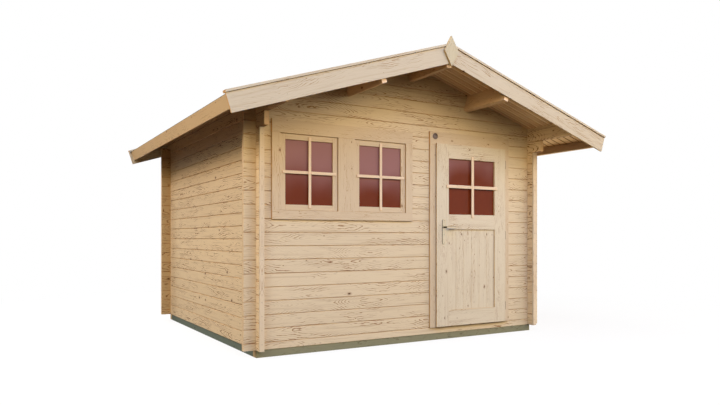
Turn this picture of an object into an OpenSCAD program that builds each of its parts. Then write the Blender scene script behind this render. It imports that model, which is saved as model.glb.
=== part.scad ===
// Garden house of notched spruce logs with a low gable roof, one door and a pair of windows.
// Origin: centre of the plan at ground level. +X is the right-hand side, +Y runs from the front to the back, +Z is up.

/* [Walls] */
// Width over the side walls
house_w = 3100; // [2860:10:4200]
// Depth over the front and rear walls
house_d = 2880; // [2000:10:4200]
// Thickness of the logs
log_t = 40; // [28:1:60]
// Height of one course of logs
log_h = 114; // [105:1:140]
// Courses that the walls have above the one over the doorway
extra_courses = 0; // [0:1:3]
// Depth of the groove between two courses
groove = 5; // [2:1:8]
// Reach of the front and rear logs past the side walls
front_log_reach = 105; // [60:5:180]
// Reach of the side logs past the front and rear walls
side_log_reach = 72; // [50:1:120]
// Reach of the stepped log past the front wall
step_log_reach = 186; // [130:2:260]
// Reach of the stepped log past the rear wall
step_log_rear = 100; // [80:2:120]
// Thickness of the battens that cover the ends of the side logs
batten_t = 16; // [10:1:24]

/* [Base] */
// Height of the impregnated beams under the walls
base_h = 65; // [45:5:120]
// Width of the beams
beam_w = 75; // [60:5:120]
// Setback of the beams from the faces of the walls
beam_inset = 6; // [0:1:15]
// Width of a floor joist
joist_w = 45; // [35:5:80]
// Number of floor joists
joist_count = 4; // [2:1:8]
// Thickness of the floor boards
floor_t = 19; // [15:1:28]
// Gap between the floor boards and the walls
floor_gap = 4; // [2:1:10]

/* [Roof] */
// Slope of the roof in degrees
roof_pitch = 17.7; // [12:0.1:26]
// Height of the topmost side log at its outer face
eave_log_h = 130; // [90:5:160]
// Overhang of the roof past the front wall
front_eave = 590; // [320:10:900]
// Overhang of the roof past the rear wall
rear_eave = 145; // [130:5:400]
// Overhang of the roof past the side walls
side_eave = 450; // [250:10:600]
// Thickness of the roof boards
roof_board_t = 19; // [15:1:24]
// Thickness of the roofing felt
felt_t = 3; // [2:1:5]
// Width of a purlin
purlin_w = 48; // [40:1:80]
// Play between the layers of the roof
roof_play = 0.02; // [0.02:0.01:0.1]
// Height of a purlin, square to the roof
purlin_h = 160; // [110:5:180]
// Height of the ridge purlin
ridge_h = 165; // [130:5:200]
// Distance of the middle purlins from the ridge, measured level
purlin_x = 709; // [450:1:900]
// Height of the bargeboards
barge_h = 145; // [120:5:200]
// Thickness of the bargeboards
barge_t = 18; // [15:1:25]
// Thickness of the cover strips on the bargeboards
strip_t = 18; // [15:1:30]
// Depth of the cover strips, front to back
strip_d = 60; // [40:5:90]
// Overhang of the cover strips in front of the bargeboards
strip_lip = 10; // [4:1:15]
// Height of the eave fascias
fascia_h = 105; // [80:5:140]
// Thickness of the eave fascias
fascia_t = 18; // [15:1:25]
// Distance of the eave fascias back from the lower ends of the bargeboards
fascia_inset = 28; // [0:1:60]
// Width of the diamond at each end of the ridge
finial_w = 152; // [120:2:200]
// Height of the diamond
finial_h = 262; // [200:2:320]
// Thickness of the diamond
finial_t = 20; // [12:1:30]
// Distance of the middle of the diamond below the underside of the boards at the ridge
finial_drop = 30; // [10:1:60]

/* [Window] */
// Distance of the window's trim from the left corner
window_x = 135; // [115:5:300]
// Width of one casement opening
casement_w = 550; // [400:10:620]
// Height of the casement openings
casement_h = 650; // [500:10:700]
// Distance of the casement openings below the joint over the doorway
window_drop = 77; // [40:1:150]
// Width of the trim board between the casements
mullion_w = 170; // [100:5:180]
// Width of the trim boards at the sides and the bottom
window_trim_w = 75; // [60:1:90]
// Height of the head board over the window
window_head_h = 113; // [60:1:130]
// Thickness of the trim boards
trim_t = 18; // [12:1:24]
// Thickness of the window's lining
lining_t = 24; // [18:1:30]
// Width of the casement's stiles and rails
sash_w = 47; // [40:1:60]
// Thickness of the casements
sash_t = 30; // [24:1:36]
// Setback of the casements behind the face of the trim
sash_setback = 12; // [8:1:14]
// Gap around a casement
sash_gap = 3; // [2:1:5]

/* [Door] */
// Distance of the door's centre line from the left corner
door_x = 2267; // [2180:1:2320]
// Width of the door leaf over its lip
leaf_w = 885; // [700:5:900]
// Height of the door leaf
leaf_h = 1772; // [1650:1:1780]
// Overlap of the lip over the frame
lip_overlap = 15; // [10:1:20]
// Thickness of the lip
lip_t = 15; // [10:1:20]
// Thickness of the leaf behind the lip
leaf_body_t = 27; // [22:1:30]
// Clearance around the moving leaf
door_gap = 5; // [5:1:8]
// Width of the trim boards beside the door
door_trim_w = 80; // [60:1:90]
// Overlap of the door's head board over the logs above the doorway
head_cover = 67; // [40:1:80]
// Thickness of the door's lining
jamb_t = 28; // [20:1:36]
// Depth of the stop that the leaf closes against
stop_w = 12; // [8:1:20]
// Width of the leaf's stiles
stile_w = 147; // [110:1:170]
// Height of the pane's bottom edge above the leaf's bottom
pane_z = 1088; // [1000:2:1120]
// Height of the pane
pane_h = 546; // [400:2:560]
// Height of the boarded panel's bottom edge above the leaf's bottom
panel_z = 152; // [100:2:200]
// Height of the boarded panel
panel_h = 790; // [700:2:800]
// Depth of the panel's recess in each face of the leaf
panel_recess = 12; // [6:1:16]

/* [Fittings] */
// Thickness of the glass
glass_t = 4; // [3:1:6]
// Depth of the groove that holds the glass
glass_bite = 8; // [6:1:12]
// Play between the edge of the glass and its groove
glass_play = 0.3; // [0.2:0.1:1]
// Width of the handle's plate
plate_w = 45; // [36:1:50]
// Height of the handle's plate
plate_h = 246; // [200:2:260]
// Thickness of the handle's plate
plate_t = 6; // [4:1:10]
// Distance of the handle's axis from the leaf's edge
handle_inset = 88; // [70:1:110]
// Height of the lever's axis above the leaf's bottom
lever_z = 962; // [900:2:1000]
// Height of the plate's bottom edge above the leaf's bottom
plate_z = 796; // [760:2:800]
// Length of the lever
lever_l = 128; // [100:2:150]
// Distance of the lever from the plate
lever_stand = 40; // [30:1:60]
// Radius of the lever and its neck
lever_r = 9; // [7:1:11]
// Radius of the spindle through the leaf
spindle_r = 5; // [4:1:6]
// Radius of a hinge barrel
barrel_r = 6.5; // [5.5:0.5:8]
// Height of one half of a hinge barrel
barrel_h = 42; // [30:2:60]
// Height of the outer hinges above the leaf's bottom and below its top
hinge_inset = 160; // [100:10:300]
// Radius of the hinge pins
pin_r = 3; // [2.5:0.5:4]
// Radial play of the spindle in the leaf
spindle_play = 1; // [0.5:0.5:2]
// Radial play of the hinge pins, and of the spindle in the plates
pin_play = 0.08; // [0.04:0.01:0.1]
// Radius of the round plate on the door's head board
disc_r = 29; // [20:1:40]
// Distance of the round plate below the head board's upper edge
disc_margin = 16; // [5:1:25]

/* [Hidden] */
$fn = 48;

// Over-long cutters reach this far past what they cut
past = 20;
spruce = [0.86, 0.75, 0.58];
spruce_side = [0.80, 0.68, 0.50];
impregnated = [0.45, 0.47, 0.40];
felt_grey = [0.30, 0.31, 0.29];
pane_brown = [0.42, 0.20, 0.12, 0.6];
plain_metal = [0.75, 0.72, 0.66];

// Heights of the courses, counted from the underside of the bottom log
half_course = log_h / 2;
leaf_z = half_course + door_gap + 1;
clear_top = leaf_z + leaf_h - lip_overlap;
door_courses = ceil((clear_top + jamb_t - half_course) / log_h);
side_courses = door_courses + extra_courses;
head_z = half_course + door_courses * log_h;
step_z = side_courses * log_h;
eave_z = step_z + log_h;
band_z = half_course + eave_z;
notch = log_h / 4;

// Plan: wall faces and roof edges
front_y = -(house_d + front_eave + rear_eave) / 2 + front_eave;
rear_y = front_y + house_d;
half_w = house_w / 2;
roof_front = front_y - front_eave;
roof_rear = rear_y + rear_eave;

// Roof: s runs down the slope from the ridge, n square to it from the underside of the boards
ridge_z = base_h + eave_z + eave_log_h + half_w * tan(roof_pitch);
slope_l = (half_w + side_eave) / cos(roof_pitch) - roof_board_t * tan(roof_pitch);
eave_l = slope_l - fascia_inset;
board_l = eave_l - fascia_t;
top_n = roof_board_t + felt_t;
strip_n = top_n + strip_t;

// Window: sizes of the wall opening and of the trim
window_w = 2 * casement_w + mullion_w;
window_left = window_x + window_trim_w;
casement_z = head_z - window_drop - casement_h;
casement_pitch = casement_w + mullion_w;

// Door: sizes of the leaf, the clear opening and the trim
body_w = leaf_w - 2 * (lip_overlap + door_gap);
clear_w = leaf_w - 2 * lip_overlap;
body_h = leaf_h - lip_overlap - door_gap;
lip_back = -trim_t - door_gap;
leaf_front = lip_back - lip_t;
leaf_back = lip_back + leaf_body_t;
stop_y = leaf_back + door_gap;
pane_w = leaf_w - 2 * stile_w;
handle_x = door_x - leaf_w / 2 + handle_inset;
glass_y = (leaf_front + leaf_back - glass_t) / 2;

// Hinges: each pin stands in a lower barrel and ends short of the bore of an upper one
hinge_gap = 1.5;
hinge_x = door_x + leaf_w / 2 + barrel_r + hinge_gap;
hinge_y = -trim_t - barrel_r - hinge_gap;
hinge_heights = [hinge_inset, leaf_h / 2, leaf_h - hinge_inset];
barrel_gap = 0.5;
bore_wall = 1;
bore_l = barrel_h - 2;
pin_l = bore_l - 2;
pin_root = 1;

// ---- Helpers ----------------------------------------------------------------------------

// Places a shape in the front wall's own frame: x from the left corner, y from the outer face, z from the bottom log
module in_front_wall() {
    translate([-half_w, front_y, base_h]) children();
}

// Box between two corners
module block(low, high) {
    translate(low) cube(high - low);
}

// Extrudes an outline of x and z from one y to another
module along_y(y0, y1) {
    translate([0, y1, 0]) rotate([90, 0, 0]) linear_extrude(y1 - y0) children();
}

// Extrudes an outline of y and z from one x to another
module along_x(x0, x1) {
    translate([x0, 0, 0]) rotate([90, 0, 90]) linear_extrude(x1 - x0) children();
}

// Shapes on the left and on the right
module both_sides() {
    children();
    mirror([1, 0, 0]) children();
}

// Heights of the joints between courses that lie inside a wall from z0 to z1
function joints(first, z0, z1) = [for (z = [first : log_h : z1 - 1]) if (z > z0 + 1) z];

// Notched edge of a log wall, going up
function grooved_edge(face, depth, levels) =
    [for (z = levels) each [[face, z - groove], [face + depth, z], [face, z + groove]]];

function reversed(points) = [for (i = [len(points) - 1 : -1 : 0]) points[i]];

// Lower corner of a log wall's face: square on the beams, bevelled on another log
function lower_corner(face, depth, z) = z > 0 ? [[face + depth, z], [face, z + groove]] : [[face, z]];

// One face of a log wall from z0 up to z1
function log_face(face, depth, z0, z1, levels) = concat(
    lower_corner(face, depth, z0), grooved_edge(face, depth, levels), [[face, z1 - groove], [face + depth, z1]]
);

// Cross section of a log wall between two heights, with a groove on both faces at every joint
module log_section(z0, z1, first) {
    levels = joints(first, z0, z1);
    polygon(concat(
        log_face(0, groove, z0, z1, levels), reversed(log_face(log_t, -groove, z0, z1, levels))
    ));
}

// Stretch of the front or rear wall, with its outer or inner face at y = 0
module front_logs(x0, x1, z0, z1) {
    along_x(x0, x1) log_section(z0, z1, half_course);
}

// Square column where two walls cross, at all four corners
module corner_columns(z0, z1) {
    for (x = [0, house_w - log_t], y = [0, house_d - log_t])
        block([x, y, z0], [x + log_t, y + log_t, z1]);
}

// What the side logs keep of the crossings: the middle half of every log
module side_cores() {
    for (i = [0 : side_courses])
        corner_columns(i * log_h + notch, (i + 1) * log_h - notch);
    corner_columns(eave_z + notch, eave_z + eave_log_h + log_h);
}

// What the side logs give up at the crossings
module side_notches() {
    difference() {
        corner_columns(-past, eave_z + eave_log_h);
        side_cores();
    }
}

// Point of the roof at a distance s down the slope and n above the underside of the boards
function on_slope(s, n) = [
    s * cos(roof_pitch) + n * sin(roof_pitch),
    ridge_z - s * sin(roof_pitch) + n * cos(roof_pitch)
];

// Layer of the right-hand roof slope, cut upright at the ridge
module slope_layer(s, n0, n1) {
    polygon([
        [0, ridge_z + n0 / cos(roof_pitch)], on_slope(s, n0), on_slope(s, n1), [0, ridge_z + n1 / cos(roof_pitch)]
    ]);
}

// Bar that runs along the roof, square to the right-hand slope
module slope_bar(s0, s1, n0, n1) {
    polygon([on_slope(s0, n0), on_slope(s1, n0), on_slope(s1, n1), on_slope(s0, n1)]);
}

// Everything below the roof boards
module under_roof() {
    far = half_w + side_eave;
    top_z = ridge_z - roof_play / cos(roof_pitch);
    low_z = top_z - far * tan(roof_pitch);
    along_y(roof_front, roof_rear)
        polygon([[-far, 0], [far, 0], [far, low_z], [0, top_z], [-far, low_z]]);
}

// ---- Base and floor ---------------------------------------------------------------------

module cross_beams() {
    color(impregnated)
        for (y = [front_y + beam_inset, rear_y - beam_inset - beam_w])
            block([beam_inset - half_w, y, 0], [half_w - beam_inset, y + beam_w, base_h]);
}

module side_beams() {
    y0 = front_y + beam_inset + beam_w;
    y1 = rear_y - beam_inset - beam_w;
    color(impregnated)
        both_sides() block([half_w - beam_inset - beam_w, y0, 0], [half_w - beam_inset, y1, base_h]);
}

module floor_joists() {
    inner = half_w - beam_inset - beam_w;
    y0 = front_y + beam_inset + beam_w;
    y1 = rear_y - beam_inset - beam_w;
    spacing = (y1 - y0) / (joist_count + 1);
    color(impregnated)
        for (i = [1 : joist_count])
            block([-inner, y0 + i * spacing - joist_w / 2, 0], [inner, y0 + i * spacing + joist_w / 2, base_h]);
}

module floor_boards() {
    edge = log_t + floor_gap;
    color(spruce)
        block([edge - half_w, front_y + edge, base_h], [half_w - edge, rear_y - edge, base_h + floor_t]);
}

// ---- Walls ------------------------------------------------------------------------------

module front_sill_log() {
    color(spruce) in_front_wall() difference() {
        front_logs(-front_log_reach, house_w + front_log_reach, 0, half_course);
        side_cores();
    }
}

module window_hole() {
    x0 = window_left - lining_t;
    z0 = casement_z - lining_t;
    block([x0, -past, z0], [x0 + window_w + 2 * lining_t, log_t + past, casement_z + casement_h + lining_t]);
}

module front_wall_left() {
    color(spruce) in_front_wall() difference() {
        front_logs(-front_log_reach, door_x - clear_w / 2 - jamb_t, half_course, head_z);
        side_cores();
        window_hole();
    }
}

module front_wall_right() {
    color(spruce) in_front_wall() difference() {
        front_logs(door_x + clear_w / 2 + jamb_t, house_w + front_log_reach, half_course, head_z);
        side_cores();
    }
}

// Pockets for the purlins in the gables, open at the top
module purlin_pockets() {
    ridge_bar(past);
    both_sides() middle_bar(past);
}

// Gable in the front wall's frame: one course that still crosses the side logs, then the triangle between the eave logs
module gable_logs() {
    front_logs(-front_log_reach, house_w + front_log_reach, head_z, band_z);
    front_logs(log_t, house_w - log_t, band_z, ridge_z);
}

module front_gable() {
    color(spruce) difference() {
        intersection() {
            in_front_wall() gable_logs();
            under_roof();
        }
        in_front_wall() side_cores();
        in_front_wall() window_hole();
        purlin_pockets();
    }
}

module rear_wall() {
    color(spruce) in_front_wall() difference() {
        translate([0, house_d - log_t, 0])
            front_logs(-front_log_reach, house_w + front_log_reach, 0, head_z);
        side_cores();
    }
}

module rear_gable() {
    color(spruce) difference() {
        intersection() {
            in_front_wall() translate([0, house_d - log_t, 0]) gable_logs();
            under_roof();
        }
        in_front_wall() side_cores();
        purlin_pockets();
    }
}

module side_wall() {
    color(spruce_side) in_front_wall() difference() {
        along_y(-side_log_reach, house_d + side_log_reach) log_section(0, step_z, log_h);
        side_notches();
    }
}

module left_wall() {
    side_wall();
}

module right_wall() {
    mirror([1, 0, 0]) side_wall();
}

module step_logs() {
    color(spruce_side) both_sides() in_front_wall() difference() {
        along_y(-step_log_reach, house_d + step_log_rear) log_section(step_z, eave_z, log_h);
        side_notches();
    }
}

module eave_log() {
    color(spruce_side) difference() {
        intersection() {
            in_front_wall()
                along_y(barge_t - front_eave, house_d + rear_eave - barge_t)
                    log_section(eave_z, eave_z + eave_log_h + log_h, ridge_z);
            under_roof();
        }
        in_front_wall() side_notches();
    }
}

module left_eave_log() {
    eave_log();
}

module right_eave_log() {
    mirror([1, 0, 0]) eave_log();
}

module corner_battens() {
    color(spruce)
        both_sides()
            for (y = [front_y - side_log_reach - batten_t, rear_y + side_log_reach])
                block([half_w - log_t, y, base_h], [half_w, y + batten_t, base_h + step_z]);
}

// ---- Roof -------------------------------------------------------------------------------

// Ridge purlin, up to a height over the underside of the boards
module ridge_bar(rise) {
    half = purlin_w / 2;
    top_z = ridge_z + rise;
    side_z = top_z - half * tan(roof_pitch);
    low_z = ridge_z - ridge_h;
    along_y(roof_front + barge_t, roof_rear - barge_t)
        polygon([[-half, low_z], [half, low_z], [half, side_z], [0, top_z], [-half, side_z]]);
}

// Middle purlin of the right-hand slope, up to a height over the underside of the boards
module middle_bar(rise) {
    s = purlin_x / cos(roof_pitch);
    along_y(roof_front + barge_t, roof_rear - barge_t)
        slope_bar(s - purlin_w / 2, s + purlin_w / 2, -purlin_h, rise);
}

module ridge_purlin() {
    color(spruce_side) ridge_bar(-roof_play / cos(roof_pitch));
}

module left_purlin() {
    color(spruce_side) mirror([1, 0, 0]) middle_bar(-roof_play);
}

module right_purlin() {
    color(spruce_side) middle_bar(-roof_play);
}

module roof_boards() {
    color(spruce_side) along_y(roof_front + barge_t, roof_rear - barge_t) slope_layer(board_l, 0, roof_board_t);
}

module left_roof_boards() {
    mirror([1, 0, 0]) roof_boards();
}

module right_roof_boards() {
    roof_boards();
}

module roof_felt() {
    color(felt_grey) along_y(roof_front, roof_rear) slope_layer(eave_l, roof_board_t + roof_play, top_n);
}

module left_roof_felt() {
    mirror([1, 0, 0]) roof_felt();
}

module right_roof_felt() {
    roof_felt();
}

// Front and rear bargeboard of the right-hand slope
module bargeboards() {
    color(spruce)
        for (y = [roof_front, roof_rear - barge_t])
            along_y(y, y + barge_t) slope_layer(slope_l, roof_board_t - barge_h, roof_board_t);
}

module left_bargeboards() {
    mirror([1, 0, 0]) bargeboards();
}

module right_bargeboards() {
    bargeboards();
}

// Strips that hold the felt down on the bargeboards, stopped at the diamonds
module cover_strips() {
    color(spruce) difference() {
        for (y = [roof_front - strip_lip, roof_rear + strip_lip - strip_d])
            along_y(y, y + strip_d) slope_layer(slope_l, top_n + roof_play, strip_n);
        diamonds();
    }
}

module left_cover_strips() {
    mirror([1, 0, 0]) cover_strips();
}

module right_cover_strips() {
    cover_strips();
}

module eave_fascias() {
    color(spruce_side)
        both_sides()
            along_y(roof_front + barge_t, roof_rear - barge_t)
                slope_bar(board_l + roof_play, eave_l, roof_board_t - fascia_h, roof_board_t);
}

// Diamond outlines, centred a little below the upper edge of the bargeboards
module diamonds() {
    middle = ridge_z - finial_drop;
    for (y = [roof_front - finial_t, roof_rear])
        along_y(y, y + finial_t)
            polygon([
                [-finial_w / 2, middle], [0, middle - finial_h / 2], [finial_w / 2, middle], [0, middle + finial_h / 2]
            ]);
}

module finials() {
    color(spruce) diamonds();
}

// ---- Window -----------------------------------------------------------------------------

// Both casement openings, grown by a margin, from one y to another
module casement_holes(grow, y0, y1) {
    for (x = [window_left, window_left + casement_pitch])
        block(
            [x - grow, y0, casement_z - grow],
            [x + casement_w + grow, y1, casement_z + casement_h + grow]
        );
}

module window_boards(y0, y1) {
    difference() {
        block(
            [window_x, y0, casement_z - window_trim_w],
            [window_x + window_w + 2 * window_trim_w, y1, casement_z + casement_h + window_head_h]
        );
        casement_holes(0, y0 - past, y1 + past);
    }
}

module window_trim() {
    color(spruce) in_front_wall() window_boards(-trim_t, 0);
}

module window_inner_trim() {
    color(spruce) in_front_wall() window_boards(log_t, log_t + trim_t);
}

module window_frame() {
    seat_y = sash_setback + sash_t - trim_t;
    color(spruce) in_front_wall() difference() {
        block(
            [window_left - lining_t, 0, casement_z - lining_t],
            [window_left + window_w + lining_t, log_t, casement_z + casement_h + lining_t]
        );
        casement_holes(0, -past, seat_y);
        casement_holes(-sash_gap - stop_w, -past, log_t + past);
    }
}

// Sheet of glass behind an opening, grown by its bite in the groove
module glass_sheet(low_x, low_z, w, h, y, grow) {
    block([low_x - grow, y, low_z - grow], [low_x + w + grow, y + glass_t, low_z + h + grow]);
}

module casement_pane(x, grow) {
    rim = sash_gap + sash_w;
    y = sash_setback - trim_t + (sash_t - glass_t) / 2;
    glass_sheet(x + rim, casement_z + rim, casement_w - 2 * rim, casement_h - 2 * rim, y, grow);
}

module casement(x) {
    front = sash_setback - trim_t;
    rim = sash_gap + sash_w;
    color(spruce) in_front_wall() difference() {
        block(
            [x + sash_gap, front, casement_z + sash_gap],
            [x + casement_w - sash_gap, front + sash_t, casement_z + casement_h - sash_gap]
        );
        block(
            [x + rim, front - past, casement_z + rim],
            [x + casement_w - rim, front + sash_t + past, casement_z + casement_h - rim]
        );
        casement_pane(x, glass_bite + glass_play);
    }
}

module left_casement() {
    casement(window_left);
}

module right_casement() {
    casement(window_left + casement_pitch);
}

module window_glass() {
    color(pane_brown) in_front_wall()
        for (x = [window_left, window_left + casement_pitch])
            casement_pane(x, glass_bite);
}

// ---- Door -------------------------------------------------------------------------------

// Surround of the door: two upright boards and a head board
module door_boards(y0, y1, side_w) {
    half = clear_w / 2;
    difference() {
        block(
            [door_x - half - side_w, y0, half_course],
            [door_x + half + side_w, y1, head_z + head_cover]
        );
        block([door_x - half, y0 - past, 0], [door_x + half, y1 + past, clear_top]);
    }
}

module door_trim() {
    color(spruce) in_front_wall() difference() {
        door_boards(-trim_t, 0, door_trim_w);
        hinge_stems();
    }
}

module door_inner_trim() {
    color(spruce) in_front_wall() door_boards(log_t, log_t + trim_t, door_trim_w);
}

// Lining of the doorway with the stop that the leaf closes against
module door_frame() {
    half = clear_w / 2;
    color(spruce) in_front_wall() difference() {
        block([door_x - half - jamb_t, 0, half_course], [door_x + half + jamb_t, log_t, clear_top + jamb_t]);
        block([door_x - half, -past, 0], [door_x + half, stop_y, clear_top]);
        block(
            [door_x - half + stop_w, -past, half_course + stop_w],
            [door_x + half - stop_w, log_t + past, clear_top - stop_w]
        );
        hinge_stems();
    }
}

// Solid leaf: the body in the opening and the lip in front of the trim
module leaf_blank() {
    block([door_x - body_w / 2, lip_back, leaf_z], [door_x + body_w / 2, leaf_back, leaf_z + body_h]);
    block([door_x - leaf_w / 2, leaf_front, leaf_z], [door_x + leaf_w / 2, lip_back, leaf_z + leaf_h]);
}

module door_pane(grow) {
    glass_sheet(door_x - pane_w / 2, leaf_z + pane_z, pane_w, pane_h, glass_y, grow);
}

module door_leaf() {
    low_x = door_x - pane_w / 2;
    high_x = door_x + pane_w / 2;
    color(spruce) in_front_wall() difference() {
        leaf_blank();
        block([low_x, leaf_front - past, leaf_z + pane_z], [high_x, leaf_back + past, leaf_z + pane_z + pane_h]);
        block(
            [low_x, leaf_front - past, leaf_z + panel_z],
            [high_x, leaf_front + panel_recess, leaf_z + panel_z + panel_h]
        );
        block(
            [low_x, leaf_back - panel_recess, leaf_z + panel_z],
            [high_x, leaf_back + past, leaf_z + panel_z + panel_h]
        );
        door_pane(glass_bite + glass_play);
        spindle(spindle_r + spindle_play, leaf_front - past, leaf_back + past);
        barrel_stems();
    }
}

module door_glass() {
    color(pane_brown) in_front_wall() door_pane(glass_bite);
}

// Bar along the lever's axis, front to back
module spindle(r, y0, y1) {
    translate([handle_x, y1, leaf_z + lever_z]) rotate([90, 0, 0]) cylinder(r = r, h = y1 - y0);
}

module handle_plate(y) {
    r = plate_w / 2;
    low = leaf_z + plate_z;
    difference() {
        union() {
            block([handle_x - r, y, low + r], [handle_x + r, y + plate_t, low + plate_h - r]);
            for (z = [low + r, low + plate_h - r])
                translate([handle_x, y + plate_t, z]) rotate([90, 0, 0]) cylinder(r = r, h = plate_t);
        }
        spindle(spindle_r + pin_play, y - past, y + plate_t + past);
    }
}

module handle_plates() {
    color(plain_metal) in_front_wall() {
        handle_plate(leaf_front - plate_t);
        handle_plate(leaf_back);
    }
}

// Lever on one side: a neck away from the plate and a grip that runs towards the hinges
module lever_grip(y_plate, side) {
    tip_y = y_plate + side * lever_stand;
    collar = 1;
    spindle(lever_r, min(y_plate + side * collar, tip_y), max(y_plate + side * collar, tip_y));
    translate([handle_x, tip_y, leaf_z + lever_z]) {
        sphere(r = lever_r);
        rotate([0, 90, 0]) cylinder(r = lever_r, h = lever_l - lever_r);
        translate([lever_l - lever_r, 0, 0]) sphere(r = lever_r);
    }
}

module door_lever() {
    front = leaf_front - plate_t;
    back = leaf_back + plate_t;
    color(plain_metal) in_front_wall() {
        spindle(spindle_r, front - lever_stand, back + lever_stand);
        lever_grip(front, -1);
        lever_grip(back, 1);
    }
}

// Upright cylinder on the hinge axis at height z above the leaf's bottom
module on_hinge(r, z, h) {
    translate([hinge_x, hinge_y, leaf_z + z]) cylinder(r = r, h = h);
}

// Stems that fix the lower barrels in the frame
module hinge_stems() {
    for (z = hinge_heights)
        translate([hinge_x, log_t / 2, leaf_z + z - barrel_h / 2]) rotate([90, 0, 0])
            cylinder(r = pin_r, h = log_t / 2 - hinge_y);
}

// Stems that fix the upper barrels in the leaf's lip
module barrel_stems() {
    x0 = hinge_x - barrel_r - hinge_gap - lip_overlap;
    y = (lip_back + leaf_front) / 2;
    for (z = hinge_heights)
        translate([x0, y, leaf_z + z + barrel_h / 2]) rotate([0, 90, 0])
            cylinder(r = pin_r, h = hinge_x - pin_r - bore_wall - x0);
}

module hinge_pins() {
    color(plain_metal) in_front_wall() {
        for (z = hinge_heights) {
            on_hinge(barrel_r, z - barrel_h, barrel_h);
            on_hinge(pin_r, z - pin_root, pin_root + pin_l);
        }
        hinge_stems();
    }
}

module hinge_barrels() {
    color(plain_metal) in_front_wall() {
        difference() {
            union() {
                for (z = hinge_heights)
                    on_hinge(barrel_r, z + barrel_gap, barrel_h);
                barrel_stems();
            }
            for (z = hinge_heights)
                on_hinge(pin_r + pin_play, z - pin_root, pin_root + bore_l);
        }
    }
}

// Low dome on a thin rim
module round_plate() {
    dome = 5;
    rim = 5;
    ball_r = disc_r * disc_r / (2 * dome) + dome / 2;
    x = door_x - clear_w / 2 - door_trim_w + disc_r + 2 * disc_margin;
    z = head_z + head_cover - disc_r - disc_margin;
    color(plain_metal) in_front_wall()
        translate([x, -trim_t, z]) rotate([90, 0, 0])
            rotate_extrude($fn = 64)
                intersection() {
                    translate([0, dome + rim - ball_r]) circle(r = ball_r, $fn = 256);
                    square([disc_r, dome + rim]);
                }
}

// ---- Drawing ----------------------------------------------------------------------------

cross_beams();
side_beams();
floor_joists();
floor_boards();
front_sill_log();
front_wall_left();
front_wall_right();
front_gable();
rear_wall();
rear_gable();
left_wall();
right_wall();
step_logs();
left_eave_log();
right_eave_log();
corner_battens();
ridge_purlin();
left_purlin();
right_purlin();
left_roof_boards();
right_roof_boards();
left_roof_felt();
right_roof_felt();
left_bargeboards();
right_bargeboards();
left_cover_strips();
right_cover_strips();
eave_fascias();
finials();
window_trim();
window_frame();
window_inner_trim();
left_casement();
right_casement();
window_glass();
door_trim();
door_frame();
door_inner_trim();
door_leaf();
door_glass();
handle_plates();
door_lever();
hinge_pins();
hinge_barrels();
round_plate();
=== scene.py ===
import math
import random
from dataclasses import dataclass

import bmesh
import bpy
import numpy as np
from mathutils import Matrix, Vector


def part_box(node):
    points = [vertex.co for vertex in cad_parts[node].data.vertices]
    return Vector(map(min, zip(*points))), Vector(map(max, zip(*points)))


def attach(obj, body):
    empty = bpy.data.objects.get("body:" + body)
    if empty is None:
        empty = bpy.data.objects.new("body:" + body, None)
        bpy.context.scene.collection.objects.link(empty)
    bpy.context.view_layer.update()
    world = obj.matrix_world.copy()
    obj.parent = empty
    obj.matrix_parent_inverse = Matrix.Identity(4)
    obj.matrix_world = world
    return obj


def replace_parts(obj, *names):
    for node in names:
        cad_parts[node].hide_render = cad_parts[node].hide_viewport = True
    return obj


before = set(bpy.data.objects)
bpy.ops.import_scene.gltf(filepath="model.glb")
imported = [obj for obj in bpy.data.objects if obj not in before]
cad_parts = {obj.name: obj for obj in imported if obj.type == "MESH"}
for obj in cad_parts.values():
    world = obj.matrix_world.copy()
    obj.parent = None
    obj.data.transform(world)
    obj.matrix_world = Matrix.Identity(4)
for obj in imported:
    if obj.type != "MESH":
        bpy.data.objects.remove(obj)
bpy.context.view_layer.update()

# ---- Measures that the frame gives ----

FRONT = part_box("front_wall_left")[0].y
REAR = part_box("rear_wall")[1].y
MIDDLE_Y = (FRONT + REAR) / 2
HALF_DEPTH = (REAR - FRONT) / 2
HALF_WIDTH = -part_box("left_wall")[0].x
BASE_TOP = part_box("front_sill_log")[0].z
HALF_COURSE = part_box("front_sill_log")[1].z - BASE_TOP
COURSE = 2 * HALF_COURSE
LOG_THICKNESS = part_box("left_wall")[1].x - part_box("left_wall")[0].x
WALL_LINE = HALF_WIDTH - LOG_THICKNESS / 2
GABLE_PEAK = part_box("front_gable")[1].z
EDGE_FACE = -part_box("left_bargeboards")[0].y

# ---- Measures of the joinery, in metres ----

EASED = 0.0015
SHARP_TURN = math.radians(30)
CASEMENT_GAP = 0.002
CASEMENT_RAIL = 0.047
CASEMENT_BAR = 0.026
DOOR_BAR = 0.031
BAR_THICKNESS = 0.009
BAR_LAP = 0.030
BAR_EASED = 0.003
DOOR_RAIL_HEIGHTS = (0.152, 0.942, 1.088, 1.634)
DOOR_STILE = 0.147
DOOR_GAP = 0.005
LIP = 0.02
LIP_THICKNESS = 0.015
LIP_EASED = 0.001
PANEL_BOARDS = 6
PANEL_RECESS = 0.012
PANEL_EASED = 0.003
FLOOR_BOARDS = 31
FLOOR_EASED = 0.001

# ---- Measures of the roof, in metres ----

PITCH = math.radians(17.7)
ROOF_BOARDS = 42
ROOF_BOARD_THICKNESS = 0.019
ROOF_BOARD_HALF = (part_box("right_roof_boards")[1].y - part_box("right_roof_boards")[0].y) / ROOF_BOARDS / 2
ROOF_SEAM = 0.002
ROOF_BEVEL = 0.005
LAP_LINES = (1.12, 0.2)
LAP_RISES = (0.0025, 0.005)
LAP_SUNK = 0.002
LAP_MARGIN = 0.001
CLOUT_SPACING = 0.1
CLOUT_MARGIN = 0.02

# ---- Measures of the fittings, in metres; heads as radius and height, domes and recesses as shares ----

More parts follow.
